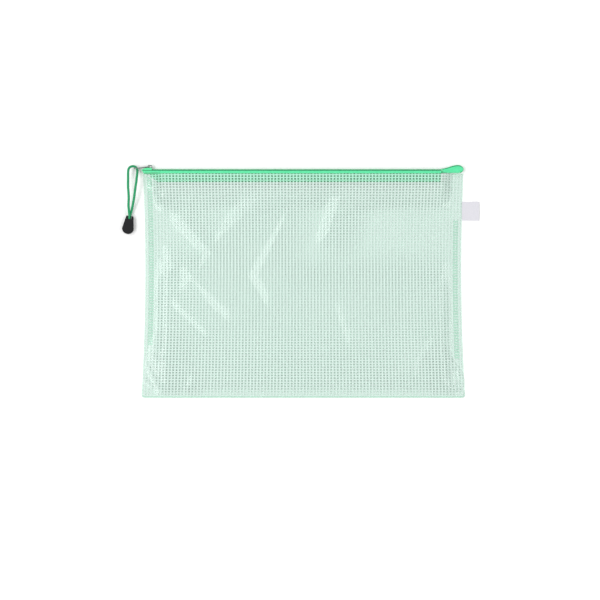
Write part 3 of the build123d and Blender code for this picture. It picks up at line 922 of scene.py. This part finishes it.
def route_points():
    """Points along the cord's smooth line, in millimetres."""
    curve = bpy.data.curves.new("cord_route", "CURVE")
    curve.dimensions = "3D"
    curve.resolution_u = ROUTE_STEPS
    spline = curve.splines.new("NURBS")
    spline.points.add(len(CORD_ROUTE) - 1)
    for point, place in zip(spline.points, CORD_ROUTE):
        point.co = [part * MM for part in place] + [1.0]
    spline.order_u = ROUTE_ORDER
    spline.use_endpoint_u = True
    holder = bpy.data.objects.new("cord_route", curve)
    line = bpy.data.meshes.new_from_object(holder)
    points = np.array([tuple(vertex.co) for vertex in line.vertices]) / MM
    bpy.data.objects.remove(holder)
    bpy.data.curves.remove(curve)
    bpy.data.meshes.remove(line)
    return points


def make_cord():
    """A braided tube along the route."""
    points = route_points()
    along = np.concatenate([[0.0], np.cumsum(np.linalg.norm(np.diff(points, axis=0), axis=1))])
    angle = np.linspace(0.0, 2.0 * math.pi, CORD_SIDES, endpoint=False)
    turn = CORD_STRANDS / 2.0 * angle[None, :]
    climb = math.pi * along[:, None] / CORD_LAY
    strands = np.sqrt(np.abs(np.cos(turn + climb) * np.cos(turn - climb)))
    radius = CORD_DIAMETER / 2.0 * (1.0 - BRAID_DEPTH * (1.0 - strands))
    braid = rod_solid(points, radius, CORD_SIDES)
    piece = new_piece("pull_braid", braid, CORD, sharp=ROUND_ANGLE)
    # Stores the braid's height, which the cord's colour uses to paint shade into the pits
    piece.data.attributes.new("braid_pit_shade", "FLOAT", "POINT").data.foreach_set("value", strands.ravel())
    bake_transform(piece)
    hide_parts("pull_cord")


make_cord()


# Side tag

def make_tag():
    """The blank tag, which lifts towards its free edge."""
    low, high = (np.array(corner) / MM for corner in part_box("side_tag"))
    x = np.linspace(low[0], high[0], TAG_POINTS[0])[None, :]
    y = np.linspace(low[1], high[1], TAG_POINTS[1])[:, None]
    share = (x - low[0]) / (high[0] - low[0])
    wave = 1.0 - TAG_WAVE + TAG_WAVE * np.sin((y - low[1]) / TAG_WAVE_LENGTH)
    z = (low[2] + high[2]) / 2.0 + TAG_LIFT * smooth((share - TAG_FLAT) / (1.0 - TAG_FLAT)) * wave
    cloth = sheet_solid(x, y, z + TAG_HALF_THICKNESS, z - TAG_HALF_THICKNESS)
    tag = new_piece("blank_tag", cloth, TAG)
    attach(tag, "root")
    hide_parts("side_tag")


make_tag()


# Hard pieces that keep their modelled shape

NODE_LOOKS = {
    "zip_stop_left": (THREAD, 0.4), "zip_stop_right": (THREAD, 0.4),
    "slider_body": (PAINT, 0.2), "slider_bridge": (METAL, 0.25), "pull_tab": (METAL, 0.15),
    "cord_knot": (CORD, 0.3), "cord_end_body": (RUBBER, 0.15), "cord_end_cap": (RUBBER, 0.15),
}


def finish_node(node, material, edge):
    """Eased edges and a finish for a node that stays in view."""
    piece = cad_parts[node]
    piece.data.materials.clear()
    piece.data.materials.append(material)
    whole = piece.modifiers.new("joined_faces", "WELD")
    whole.merge_threshold = TINY * MM
    bevel = piece.modifiers.new("eased_edges", "BEVEL")
    bevel.width = edge * MM
    bevel.segments = EASED_STEPS
    bevel.limit_method = "ANGLE"
    bevel.angle_limit = math.radians(EASED_ANGLE)


for name, (material, edge) in NODE_LOOKS.items():
    finish_node(name, material, edge)


# Floor, light and camera

def make_floor():
    """The white table top."""
    look = Shading("floor", {"Specular IOR Level": 0.1})
    grain = look.noise(60.0)
    look.tint(grain, colour(247, 247, 247), colour(250, 250, 250))
    look.roughness(grain, 0.8, 0.9)
    span = np.linspace(-FLOOR_REACH, FLOOR_REACH, FLOOR_POINTS)
    x, y = np.meshgrid(span, span)
    points = np.stack([x, y, np.full_like(x, FLOOR_LEVEL)], -1).reshape(-1, 3)
    faces = grid_faces(FLOOR_POINTS, FLOOR_POINTS).tolist()
    floor = new_piece("floor", (points, faces), look.material)


def soft_light(name, place, aim, size, power):
    """A rectangular light that the camera doesn't see."""
    data = bpy.data.lights.new(name, "AREA")
    data.shape = "RECTANGLE"
    data.size, data.size_y = (part * MM for part in size)
    data.energy = power
    lamp = bpy.data.objects.new(name, data)
    lamp.location = [part * MM for part in place]
    lamp.rotation_euler = (Vector(aim) - Vector(place)).to_track_quat("-Z", "Y").to_euler()
    lamp.visible_camera = False
    bpy.context.scene.collection.objects.link(lamp)


def make_light():
    """A white surround, a softbox at the left and a weaker fill at the right."""
    world = bpy.data.worlds.new("studio")
    world.use_nodes = True
    surround = world.node_tree.nodes["Background"]
    surround.inputs["Color"].default_value = (1.0, 1.0, 1.0, 1.0)
    surround.inputs["Strength"].default_value = WORLD_STRENGTH
    bpy.context.scene.world = world
    for values in LIGHTS:
        soft_light(*values)


def make_camera():
    """A camera straight above the middle of the photograph."""
    data = bpy.data.cameras.new("camera")
    data.lens = LENS
    data.sensor_width = SENSOR
    camera = bpy.data.objects.new("camera", data)
    aim_x, aim_y, aim_z = CAMERA_AIM
    camera.location = (aim_x * MM, aim_y * MM, (aim_z + PICTURE_WIDTH * LENS / SENSOR) * MM)
    bpy.context.scene.collection.objects.link(camera)
    bpy.context.scene.camera = camera


make_floor()
make_light()
make_camera()
bpy.context.scene.view_settings.view_transform = "Standard"
bpy.context.scene.cycles.transparent_max_bounces = CLEAR_BOUNCES
